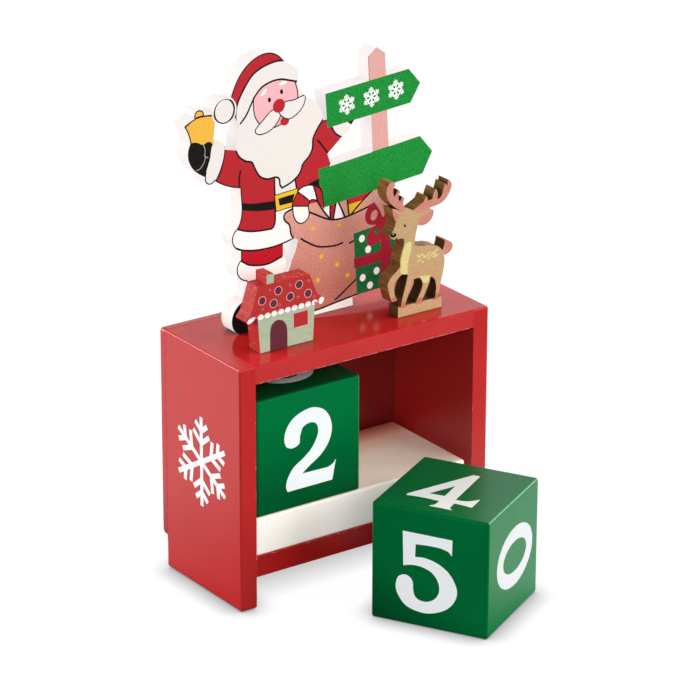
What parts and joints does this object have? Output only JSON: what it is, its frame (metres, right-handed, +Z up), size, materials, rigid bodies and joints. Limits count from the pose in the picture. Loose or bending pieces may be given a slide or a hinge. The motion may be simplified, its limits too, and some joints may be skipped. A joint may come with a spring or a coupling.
{
  "type": "wooden advent calendar",
  "caption": "Small open wooden case with number cubes and a loose bar, and fretsawn Christmas figures standing on its top board.",
  "frame": {"origin": "on the table, under the middle of the footprint of case and table cube together", "axes": "+X to the right along the case's width as its open front is looked at, +Y to the case's back panel, +Z up"},
  "size_m": [0.0992, 0.1056, 0.1741],
  "materials": {
    "red_enamel": "satin-gloss enamel on wood",
    "green_enamel": "satin enamel on wood, white painted numerals",
    "white_enamel": "satin enamel on wood",
    "printed_plate": "white-primed plywood, printed front, satin",
    "reindeer_wood": "printed front, bare laser-cut edge",
    "cottage_paint": "printed front, red enamel edge",
    "wire_steel": "plain drawn wire"
  },
  "bodies": {
    "case": {"left_side_board": "red_enamel", "right_side_board": "red_enamel", "top_board": "red_enamel", "bottom_board": "red_enamel", "back_panel": "red_enamel", "corner_brads": "wire_steel", "back_panel_brads": "wire_steel", "figure_brads": "wire_steel", "santa_signpost_plate": "printed_plate", "reindeer": "reindeer_wood", "house": "cottage_paint"},
    "bar": {"white_bar": "white_enamel"},
    "case_cube": {"cube_in_case": "green_enamel"},
    "table_cube": {"cube_on_table": "green_enamel"}
  },
  "joints": [
    {"name": "bar_slide", "type": "slide", "parent": "case", "child": "bar", "axis": [0, -1, 0], "range_m": [0, 0.0045]},
    {"name": "case_cube_slide", "type": "slide", "parent": "bar", "child": "case_cube", "axis": [0, -1, 0], "range_m": [0, 0.0125]},
    {"name": "table_cube_turn", "type": "hinge", "parent": "case", "child": "table_cube", "pos_m": [0.01215, -0.02593, 0.02], "axis": [0, 0, 1], "continuous": true}
  ]
}
